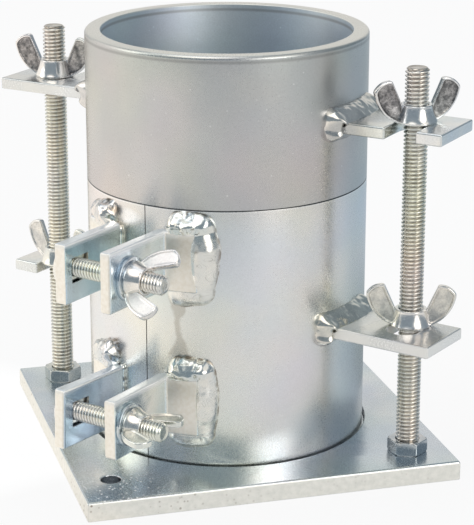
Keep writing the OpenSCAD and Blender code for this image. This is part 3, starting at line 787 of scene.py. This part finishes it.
def bend_bead(level, side, seed):
    """The zinc that filled the crevice between the bend of a bracket and the tube: a thin upright bead
    with (r, arc) = its middle + radius(z) times (cos a, sin a), where radius(z) has hills and closes at
    the ends."""
    low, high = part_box(f"bracket_{level}_{side}")
    sign = 1 if side == "right" else -1
    z = np.linspace(low.z + BEND_BEAD_INSET, high.z - BEND_BEAD_INSET, 60)[:, None]
    a = np.linspace(0, TURN, 14, endpoint=False)[None, :]
    end = np.minimum(z - z[0], z[-1] - z) / (1.5 * MM)
    radius = BEND_BEAD_R * np.sqrt(np.clip(1 - (1 - np.clip(end, 0, 1)) ** 2, 0, 1))
    radius = radius * (1 + 0.22 * hills(z * np.array([1.0, 0.0, 0.0]), 4.5 * MM, seed))[:, None]
    arc = sign * (LEG_OFFSETS[side] + 1.25 * MM) * 1.01 + radius * np.sin(a)
    points = polar(TUBE_R + 0.5 * MM + radius * np.cos(a), SLIT_ANGLE + arc / TUBE_R, z)
    name = f"bend_bead_{level}_{side}"
    new_piece(name, grid_mesh(name, points), weld_material, "weld", HALVES[side])


for level, side, seed in (
    ("upper", "right", 41),
    ("upper", "left", 42),
    ("lower", "right", 43),
    ("lower", "left", 44),
):
    bend_bead(level, side, seed)

# Bracket welds: one thick bead over the top of each foot, down its far end and along under it. They are
# the roughest work on the mould, with big bright nuggets above and a smooth flow down the side.

BRACKET_THICKNESS = 5.0 * MM
BRACKET_HEIGHT = 24.2 * MM
FOOT_LENGTH = 13.5 * MM
BRACKET_WELD_REACH = (7.6 * MM, 6.6 * MM, 7.0 * MM)
BRACKET_WELD_RISE = (5.0 * MM, 5.2 * MM, 4.6 * MM)
BRACKET_WELD_FULLNESS = 1.75
BRACKET_WELD_TAPER = 4.0 * MM
BRACKET_WELD_LUMPS = {"right": (0.10, 0.04, 0.04), "left": (0.2, 0.04, 0.04)}


def bracket_weld(level, side, seed, swells, nuggets, pale_dull_share, overlap):
    """The open bead round one foot. nuggets are given in millimetres from the foot's far top corner. Past
    its first corner the bead is duller and painted paler, a painted highlight, by the given share, and
    scorched on its outer edge."""
    node = f"bracket_weld_{level}_{side}"
    low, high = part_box(f"bracket_{level}_{side}")
    sign = 1 if side == "right" else -1
    middle = (low.z + high.z) / 2
    bottom = middle - BRACKET_HEIGHT / 2
    top = middle + BRACKET_HEIGHT / 2
    foot_r = TUBE_R + BRACKET_THICKNESS
    start = foot_r * math.asin((LEG_OFFSETS[side] + BRACKET_THICKNESS) / foot_r) * TUBE_R / foot_r
    far = start + FOOT_LENGTH * TUBE_R / foot_r
    path = rectangle_path(start - 1.0 * MM, far, bottom, top, 0.5 * MM, closed=False)
    for part in path:
        part[:, 0] *= sign
    on_bead = [(sign * (far + a * MM), top + z * MM, r * MM, h * MM) for a, z, r, h in nuggets]
    points = weld_points(
        path, SLIT_ANGLE, BRACKET_WELD_REACH, BRACKET_WELD_RISE, BRACKET_WELD_FULLNESS,
        BRACKET_WELD_LUMPS[side], seed, BRACKET_WELD_TAPER, on_bead, overlap, swells,
    )
    share = np.broadcast_to(np.linspace(0, 1, len(points))[:, None], points.shape[:2])
    first_corner = 0.3
    drawn = pale_dull_share * np.clip((share - first_corner) / 0.06, 0, 1)
    outer_edge = slice(12, 18)
    rim = np.zeros(share.shape)
    rim[:, outer_edge] = (0.3, 0.6, 0.9, 1.0, 1.0, 1.0)
    mesh = grid_mesh(node, points, drawn=drawn, rim=rim)
    new_piece(node + "_bead", mesh, weld_material, "weld", HALVES[side], node)


SWELL_SHARES = (0, 0.13, 0.26, 0.4, 0.6, 0.73, 0.86, 1)
ROUND_BEAD = (SWELL_SHARES, (0.9, 1.0, 0.95, 1.25, 1.1, 0.88, 1.05, 0.9))
FLAT_BEAD = (SWELL_SHARES, (0.95, 1.0, 0.95, 1.1, 1.05, 0.85, 0.95, 0.8))
THIN_BEAD = ((0, 0.15, 0.3, 0.7, 1), (1.15, 1.0, 0.75, 0.7, 0.8))
UPPER_RIGHT_NUGGETS = (
    (-10.5, 3.0, 2.6, 1.2),
    (-6.0, 2.5, 2.4, 1.6),
    (-2.0, 2.5, 2.2, 1.0),
    (1.5, 3.5, 2.8, 1.0),
    (4.0, -6.5, 4.2, 0.9),
)
LOWER_RIGHT_NUGGETS = ((-8.0, 2.5, 6.0, 1.7), (1.2, 2.8, 2.6, 1.5), (3.5, -12.0, 5.0, 0.4))
UPPER_LEFT_NUGGETS = ((-10.5, 4.0, 3.0, 2.2), (-6.5, 6.0, 2.2, 1.6))
LOWER_LEFT_NUGGETS = ((-10.5, 4.5, 3.2, 2.2), (-6.5, 6.5, 2.2, 1.6))
bracket_weld("upper", "right", 21, ROUND_BEAD, UPPER_RIGHT_NUGGETS, pale_dull_share=1.0, overlap=0.3)
bracket_weld("lower", "right", 22, FLAT_BEAD, LOWER_RIGHT_NUGGETS, pale_dull_share=0.75, overlap=0.14)
bracket_weld("upper", "left", 23, THIN_BEAD, UPPER_LEFT_NUGGETS, pale_dull_share=0.2, overlap=0.3)
bracket_weld("lower", "left", 24, THIN_BEAD, LOWER_LEFT_NUGGETS, pale_dull_share=0.2, overlap=0.3)

# Clamp bolts: a carriage bolt through each pair of brackets, with a domed head and a square neck in the
# left bracket. The thread runs the whole way to the bevelled end.

BOLT_PITCH = 1.41 * MM
BOLT_CREST_R = 3.92 * MM
BOLT_ROOT_R = 3.25 * MM
BOLT_HEAD_SIDE = -16.6 * MM
BOLT_END = 28.3 * MM
NECK_WIDTH = 8.6 * MM
NECK_LENGTH = 3.5 * MM
BOLT_HEAD_R = 9.0 * MM
BOLT_HEAD_HEIGHT = 4.4 * MM
bolt_material = zinc_material(
    "bolt_zinc", (0.92, 0.91, 0.85), (0.84, 0.86, 0.84), roughness=0.18,
    clouds=60, crystals=1500, grain=0.08, flash=0.2,
)
add_soil(bolt_material, (0.18, 0.18, 0.17, 1))
CLAMP_WAYS = (OUT_OF_SLIT, (0, 0, -1), RIGHT_OF_SLIT)
fall = np.linspace(0, math.pi / 2, 12)
dome = np.stack([BOLT_HEAD_R * np.sin(fall), -BOLT_HEAD_HEIGHT * np.cos(fall)], axis=-1)
head_profile = np.vstack([dome, [[BOLT_HEAD_R - 0.3 * MM, 0.0], [0, 0]]])
head_points = turned_points(head_profile, np.linspace(0, TURN, 48, endpoint=False))
neck_radii = NECK_WIDTH / math.sqrt(2) * np.array([[0], [1], [1], [0]])
neck_heights = NECK_LENGTH * np.array([[0], [0], [1], [1]])
neck_points = polar(neck_radii, np.radians(45 + 90 * np.arange(4)), neck_heights)
for level in ("upper", "lower"):
    node = "clamp_bolt_" + level
    nut_seat = np.array(joints[f"clamp_nut_{level}_spin"]["pos_m"])
    head_seat = nut_seat + RIGHT_OF_SLIT * (BOLT_HEAD_SIDE - nut_seat @ RIGHT_OF_SLIT)
    thread_piece(
        node, bolt_material, "clamp_bolt", "mould_left", head_seat, CLAMP_WAYS,
        length=BOLT_END - BOLT_HEAD_SIDE, crest_r=BOLT_CREST_R, root_r=BOLT_ROOT_R, pitch=BOLT_PITCH,
        end_soil=0.45,
    )
    head = placed(head_points, head_seat, *CLAMP_WAYS)
    head_mesh = grid_mesh(node + "_head", head, wrap_rows=True, wrap_columns=False)
    new_piece(node + "_head", head_mesh, bolt_material, "clamp_bolt", "mould_left")
    neck_mesh = grid_mesh(node + "_neck", placed(neck_points, head_seat, *CLAMP_WAYS))
    new_piece(node + "_neck", neck_mesh, bolt_material, "clamp_bolt", "mould_left")

# Clamp washers: a plain round washer under each clamp nut, punched from sheet steel, so that its edges are
# rolled over, and zinc plated. It lies loose between the nut and the right bracket.

WASHER_EASE = 0.5 * MM
washer_material = zinc_material(
    "washer_zinc", (0.66, 0.71, 0.76), (0.48, 0.56, 0.64), roughness=0.16,
    clouds=140, crystals=1700, grain=0.08, flash=0.2,
)
for level in ("upper", "lower"):
    node = "clamp_washer_" + level
    eased_piece(node, washer_material, "washer", node, WASHER_EASE, 4)

# Wing nuts: cast nuts with a bell-shaped boss and two ears. Each ear has a polished raised rim round a
# rough sunken face. Four stand on the lugs, and two smaller ones clamp the mould shut.

WING_THICKNESS = 2.5 * MM
WING_RIM = 0.85 * MM
WING_SUNK = 0.55 * MM
WING_ROUND = 0.45 * MM
SUNK_RINGS = 8


def bend_points(a, c, b, steps):
    """A curve from a to b that bends towards c: a(1-t)^2 + 2ct(1-t) + bt^2, for t from 0 to 1."""
    t = np.linspace(0, 1, steps)[:, None]
    return np.array(a) * (1 - t) ** 2 + 2 * np.array(c) * t * (1 - t) + np.array(b) * t ** 2


def wing_points(root_r, neck_r, boss_h, tip_r, wing_h):
    """One ear in the X-Z plane as a closed grid. Rings shrink from its outline to its middle, on the front
    and then on the back, and each point stands out from the mid-plane by a height that depends on its
    distance d to the outline: a round edge, a flat rim, then a slope down to the sunken face."""
    foot = (root_r, 0)
    tip = (tip_r, 0.77 * wing_h)
    top = (0.6 * tip_r, wing_h)
    neck = (neck_r, boss_h)
    inside = (0.7 * neck_r, 0)
    corners = [
        bend_points(foot, (0.92 * tip_r, 0.22 * wing_h), tip, 60),
        bend_points(tip, (0.86 * tip_r, 1.02 * wing_h), top, 30),
        bend_points(top, (np.array(top) + neck) / 2, neck, 30),
        bend_points(neck, (np.array(neck) + inside) / 2, inside, 12),
        bend_points(inside, (np.array(foot) + inside) / 2, foot, 12),
    ]
    rough_line = np.vstack([part[:-1] for part in corners])
    closed = np.vstack([rough_line, rough_line[:1]])
    along = np.concatenate([[0], np.cumsum(np.linalg.norm(np.diff(closed, axis=0), axis=1))])
    even = np.linspace(0, along[-1], 110, endpoint=False)
    outline = np.stack([np.interp(even, along, closed[:, 0]), np.interp(even, along, closed[:, 1])], axis=-1)
    for _ in range(2):
        outline = 0.5 * outline + 0.25 * (np.roll(outline, 1, axis=0) + np.roll(outline, -1, axis=0))
    middle = np.array([0.62 * tip_r, 0.52 * wing_h])
    share = np.array([0, 0.3, 0.5, 0.62, 0.7, 0.76, 0.8, 0.84, 0.88, 0.92, 0.95, 0.975, 0.99, 1.0])
    flat = middle + share[:, None, None] * (outline - middle)
    apart = flat[:, :, None, :] - outline[None, None, :, :]
    d = np.sqrt((apart ** 2).sum(axis=-1)).min(axis=-1)
    cut_back = np.clip(WING_ROUND - d, 0, WING_ROUND)
    edge = np.sqrt(np.clip(WING_ROUND ** 2 - cut_back ** 2, 0, None)) - WING_ROUND
    slope = np.clip((d - WING_RIM) / (0.5 * MM), 0, 1)
    sunk = WING_SUNK * slope ** 2 * (3 - 2 * slope)
    out = WING_THICKNESS / 2 + edge - sunk
    front = np.stack([flat[..., 0], out, flat[..., 1]], axis=-1)
    return np.vstack([front, front[::-1] * (1, -1, 1)])


def boss_profile(thread_r, base_r, top_r, boss_h):
    """The bell of the nut as (r, z): a short foot, a hollow curve up to the top, a rounded rim and the
    hole."""
    waist = ((base_r + top_r) / 2 - 0.3 * MM, 0.4 * boss_h)
    return np.vstack([
        [[thread_r, 0.0], [base_r - 0.5 * MM, 0.0], [base_r - 0.1 * MM, 0.3 * MM]],
        bend_points((base_r, 0.9 * MM), waist, (top_r, boss_h - 0.5 * MM), 10),
        corner_arc((top_r - 0.4 * MM, boss_h - 0.4 * MM), 0.4 * MM, 0, 90),
        [[thread_r + 0.5 * MM, boss_h], [thread_r, boss_h - 0.5 * MM]],
    ])


nut_rim_material = zinc_material(
    "wing_nut_zinc", (0.90, 0.89, 0.86), (0.80, 0.81, 0.81), roughness=0.19,
    clouds=120, crystals=1500, grain=0.06, flash=0.2,
)
dark_face_material = zinc_material(
    "wing_face_dark", (0.42, 0.41, 0.40), (0.16, 0.16, 0.16), roughness=0.3,
    clouds=420, crystals=1300, grain=0.4, flash=0.5, bump=0.9,
)
pale_face_material = zinc_material(
    "wing_face_pale", (0.86, 0.84, 0.79), (0.66, 0.66, 0.64), roughness=0.34,
    clouds=300, crystals=1300, grain=0.16, flash=0.2, bump=0.7,
)
white_face_material = zinc_material(
    "wing_face_white", (0.96, 0.96, 0.95), (0.92, 0.93, 0.93), roughness=0.4,
    clouds=200, crystals=1500, grain=0.08, flash=0.1, bump=0.4,
)


def wing_nut(node, origin, ways, turn, face_material, thread_r, base_r, top_r, boss_h, tip_r, wing_h):
    """A boss and two ears at an origin on local axes, turned about the thread by turn in degrees. The
    sunken part of each ear takes the rough material."""
    x, y = np.array(ways[:2])
    spin = math.radians(turn)
    x_way = x * math.cos(spin) + y * math.sin(spin)
    y_way = y * math.cos(spin) - x * math.sin(spin)
    profile = boss_profile(thread_r, base_r, top_r, boss_h)
    boss = turned_points(profile, np.linspace(0, TURN, 56, endpoint=False))
    boss_mesh = grid_mesh(node + "_boss", placed(boss, origin, x_way, y_way, ways[2]), wrap_rows=True)
    new_piece(node + "_boss", boss_mesh, nut_rim_material, "wing_nut", node, node)
    ear = wing_points(base_r - 0.4 * MM, top_r, boss_h, tip_r, wing_h)
    rings, columns = ear.shape[:2]
    for name, sign in ((node + "_ear_near", 1), (node + "_ear_far", -1)):
        mesh = grid_mesh(name, placed(ear, origin, x_way * sign, y_way * sign, ways[2]))
        new_piece(name, mesh, nut_rim_material, "wing_nut", node)
        mesh.materials.append(face_material)
        ring = np.arange(len(mesh.polygons)) // columns
        sunk = (ring < SUNK_RINGS) | (ring >= rings - 1 - SUNK_RINGS)
        mesh.polygons.foreach_set("material_index", sunk.astype(np.int32))


STUD_NUT = {
    "thread_r": 4.8 * MM, "base_r": 8.3 * MM, "top_r": 6.4 * MM, "boss_h": 7.2 * MM, "tip_r": 17.9 * MM,
    "wing_h": 16.9 * MM,
}
CLAMP_NUT = {
    "thread_r": 4.0 * MM, "base_r": 7.2 * MM, "top_r": 5.5 * MM, "boss_h": 6.6 * MM, "tip_r": 15.2 * MM,
    "wing_h": 16.1 * MM,
}
for part, side, turn, face in (
    ("collar", "right", 3.6, dark_face_material),
    ("collar", "left", -36.8, dark_face_material),
    ("mould", "right", -20.2, pale_face_material),
    ("mould", "left", -55.5, pale_face_material),
):
    node = f"{part}_wing_nut_{side}"
    wing_nut(node, (*stud_centres[side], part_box(node)[0].z), STUD_WAYS, turn, face, **STUD_NUT)
for level, turn, face in (("upper", -136, white_face_material), ("lower", -177, pale_face_material)):
    seat = joints[f"clamp_nut_{level}_spin"]["pos_m"]
    wing_nut("clamp_wing_nut_" + level, seat, CLAMP_WAYS, turn, face, **CLAMP_NUT)

# Extension collar: a second length of the same tube, which holds the loose soil above the mould. Its top
# edge is turned round, and its lower edge is counterbored to drop over the mould's rim.

COLLAR_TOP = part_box("collar_ring")[1].z
COLLAR_ROUND = 1.4 * MM
COUNTERBORE_R = RIM_R + 0.9 * MM
COLLAR_STEP = MOULD_TOP + 0.3 * MM
collar_profile = np.vstack([
    [[COUNTERBORE_R, SEAM]],
    corner_arc((TUBE_R - TUBE_EASE, SEAM + TUBE_EASE), TUBE_EASE, -90, 0),
    corner_arc((TUBE_R - COLLAR_ROUND, COLLAR_TOP - COLLAR_ROUND), COLLAR_ROUND, 0, 90, 9),
    corner_arc((BORE_R + TUBE_EASE, COLLAR_TOP - TUBE_EASE), TUBE_EASE, 90, 180),
    [[BORE_R, COLLAR_STEP], [COUNTERBORE_R, COLLAR_STEP]],
])
collar_points = turned_points(collar_profile, np.linspace(0, TURN, TUBE_STEPS, endpoint=False))
collar_material = zinc_material(
    "collar_zinc", (0.64, 0.63, 0.615), (0.57, 0.58, 0.585), roughness=0.3,
    clouds=20, crystals=2000, grain=0.07, flash=0.5,
)


def add_collar_inside():
    """The bore of the collar is duller than its outside, and painted brighter and bluer as a painted
    reflection. Its rim is painted creamier on top as a painted highlight, with painted shade on the lip
    below it. The seam with the mould shows as a dark line of painted shadow."""
    coat = coat_of(collar_material)
    place = coordinates(collar_material.node_tree)["Object"]
    z = axes(place)[2]
    bore = spread(from_axis(place), BORE_R + 0.6 * MM, BORE_R + 0.1 * MM)
    bore_painted_blue = mix_colours(bore, coat["Colour"], (1.16, 1.27, 1.36, 1), "MULTIPLY")
    rim = times(spread(z, COLLAR_TOP - 0.6 * MM, COLLAR_TOP - 0.1 * MM), 0.7)
    painted_cream = mix_colours(rim, bore_painted_blue, (0.86, 0.84, 0.78, 1))
    lip = spread(positive(minus(z, COLLAR_TOP - 2.3 * MM)), 0.9 * MM, 0.2 * MM)
    shaded = mix_colours(times(lip, 0.55), painted_cream, (0.3, 0.3, 0.3, 1))
    paint(
        collar_material,
        Base_Color=mix_colours(shadow_line(minus(z, SEAM)), shaded, SEAM_SHADOW),
        Roughness=plus(coat["Roughness"], times(bore, 0.12)),
    )


add_collar_inside()
collar_mesh = grid_mesh("collar_tube", collar_points, wrap_rows=True)
new_piece("collar_tube", collar_mesh, collar_material, "collar", "collar", "collar_ring")

# Collar lugs and their welds: flat bar welded on as on the mould, but wider, and with slots that open the
# other way round, so that the collar turns off the studs the opposite way from the mould.

COLLAR_LUG_WIDTH = 30 * MM
# Painted shade and highlights for the collar's lugs, as for the mould's.
COLLAR_LUG_PAINTED_LIGHT = {
    "right": {"inner": 0.62, "outer": 1.0, "painted_glow_by_weld": 0.0, "pale": 0.0},
    "left": {"inner": 1.0, "outer": 0.9, "painted_glow_by_weld": 0.65, "pale": 0.4},
}
for side, seed in (("right", 31), ("left", 32)):
    collar_lug_material = lug_zinc("collar_lug_zinc_" + side, **COLLAR_LUG_PAINTED_LIGHT[side])
    eased_piece("collar_lug_" + side, collar_lug_material, "lug", "collar", LUG_EASE)
    lug_weld("collar", side, COLLAR_LUG_WIDTH, "collar", seed)

# Studio: a white floor that fades into the background, a tent of soft boxes that the metal mirrors, three
# weak lamps for the shadow, and the camera where the photographer stood.

FLOOR_HALF = 3.0
FRONT = math.radians(-105.3)
WARM_WHITE = (1.02, 0.978, 0.91, 1)
COOL_GREY = (0.80, 0.96, 1.08, 1)
CAMERA_PLACE = (-0.21276, -0.77789, 0.33244)
CAMERA_TURN = (72.2785, -0.0286, -15.5781)
CAMERA_LENS = 139.70
TENT_LEVEL = 0.30


def light_path(tree):
    """What kind of ray it is: 1 for yes and 0 for no, by name."""
    return add_node(tree, "LightPath").outputs


def ray_seen(tree):
    """1 for the rays that see the background: those of the camera and those that metal or glass sends on."""
    path = light_path(tree)
    return larger(larger(path["Is Camera Ray"], path["Is Glossy Ray"]), path["Is Transmission Ray"])


def toward(turn, rise):
    """The direction at an angle to the right of the front, and at a height, both in degrees."""
    a = FRONT + math.radians(turn)
    b = math.radians(rise)
    return (math.cos(a) * math.cos(b), math.sin(a) * math.cos(b), math.sin(b))


def soft_box(way, turn, rise, inner, outer, level):
    """A round patch of light in the tent: level within the angle inner of its middle, fading to 0 at
    outer."""
    near, far = (math.cos(math.radians(angle)) for angle in (inner, outer))
    return spread(dot(way, toward(turn, rise)), far, near, 0.0, level)


def floor_material():
    """White paper. The camera finds it mostly white, so that only a soft shadow is left; for metal it glows
    with painted light, bright on the left, paler in front and grey on the right, with a painted shadow that
    makes it greyer still near the object. It is dark below the plate."""
    material = bpy.data.materials.new("paper_floor")
    material.use_nodes = True
    tree = material.node_tree
    tree.nodes.clear()
    paper = add_node(tree, "BsdfDiffuse", {"Color": (0.8, 0.8, 0.8, 1)}).outputs[0]
    place = coordinates(tree)["Object"]
    way = vector_maths("NORMALIZE", place)[0]
    rightness = dot(way, toward(90, 0))
    nearness = dot(way, toward(0, 0))
    far_right = spread(rightness, 0.1, 0.6)
    left = spread(rightness, -0.35, -0.85, 0.0, 0.3)
    right = times(times(spread(nearness, 0.05, -0.45), far_right), 0.22)
    # A painted shadow on the floor beside the object, on the right, as the metal sees it.
    painted_shadow_near_object = spread(vector_maths("LENGTH", place)["Value"], 0.32, 0.15)
    beside = times(times(painted_shadow_near_object, spread(nearness, 0.4, 0.0, 0.0, 0.24)), far_right)
    seen = minus(plus(left, 0.75), plus(right, beside))
    tint = mix_colours(spread(seen, 0.55, 0.8), COOL_GREY, WARM_WHITE)
    camera_ray = light_path(tree)["Is Camera Ray"]
    colour = mix_colours(camera_ray, tint, WHITE)
    glow = add_node(tree, "Emission", {"Color": colour, "Strength": larger(camera_ray, seen)}).outputs[0]
    x, y, _ = axes(place)
    open_floor = spread(larger(positive(x), positive(y)), PLATE_HALF - 4 * MM, PLATE_HALF)
    share = times(times(ray_seen(tree), open_floor), 0.88)
    blend = add_node(tree, "MixShader", {0: share, 1: paper, 2: glow}).outputs[0]
    add_node(tree, "OutputMaterial", {"Surface": blend})
    return material


floor_mesh = bpy.data.meshes.new("floor")
floor_corners = [(x * FLOOR_HALF, y * FLOOR_HALF, 0) for x, y in ((-1, -1), (1, -1), (1, 1), (-1, 1))]
floor_mesh.from_pydata(floor_corners, [], [(0, 1, 2, 3)])
floor_mesh.materials.append(floor_material())
add_object("floor", floor_mesh)

world = bpy.data.worlds.new("studio")
bpy.context.scene.world = world
world.use_nodes = True
sky = world.node_tree
sky.nodes.clear()
sky_way = coordinates(sky)["Generated"]
tent = TENT_LEVEL
for turn, rise, inner, outer, level in (
    (-108, 15, 28, 44, 1.05),
    (38, 21, 12, 24, 2.2),
    (-35, 62, 16, 28, 1.7),
    (62, 50, 14, 26, 0.9),
    (180, 14, 26, 46, 0.79),
):
    tent = larger(tent, soft_box(sky_way, turn, rise, inner, outer, level))
camera_sees = light_path(sky)["Is Camera Ray"]
tent_tint = mix_colours(spread(tent, 0.3, 0.9), COOL_GREY, WARM_WHITE)
seen_colour = mix_colours(camera_sees, tent_tint, WHITE)
seen_level = add_node(sky, "Mix", {0: camera_sees, 2: tent, 3: 1.0}).outputs[0]
seen = add_node(sky, "Background", {"Color": seen_colour, "Strength": seen_level}).outputs[0]
fill = add_node(sky, "Background", {"Color": (0.95, 0.97, 1.0, 1), "Strength": 0.8}).outputs[0]
sky_mix = add_node(sky, "MixShader", {0: ray_seen(sky), 1: fill, 2: seen}).outputs[0]
add_node(sky, "OutputWorld", {"Surface": sky_mix})


def soft_lamp(name, place, aim, width, height, power, colour):
    """A flat soft box at a place, turned to face a point."""
    data = bpy.data.lights.new(name, "AREA")
    data.shape = "RECTANGLE"
    data.size = width
    data.size_y = height
    data.energy = power
    data.color = colour
    lamp = add_object(name, data)
    lamp.location = place
    way = np.array(aim) - np.array(place)
    tilt = math.acos(-way[2] / np.linalg.norm(way))
    lamp.rotation_euler = (tilt, 0, math.atan2(way[1], way[0]) - math.pi / 2)


soft_lamp("lamp_left", (-1.5, 0.3, 1.0), (0, 0, 0.09), 0.8, 1.2, 3, (1.0, 0.99, 0.96))
soft_lamp("lamp_right", (0.67, -1.45, 0.65), (0, 0, 0.09), 0.6, 0.6, 1.5, (0.97, 0.98, 1.0))
soft_lamp("lamp_above", (-0.2, 0.3, 1.6), (0, 0, 0.1), 1.0, 1.0, 2.5, (0.96, 0.98, 1.0))

camera_data = bpy.data.cameras.new("camera")
camera_data.lens = CAMERA_LENS
camera_data.sensor_width = 36.0
camera_data.clip_start = 0.01
camera = add_object("camera", camera_data)
camera.location = CAMERA_PLACE
camera.rotation_euler = [math.radians(angle) for angle in CAMERA_TURN]
bpy.context.scene.camera = camera
bpy.context.scene.view_settings.view_transform = "Standard"
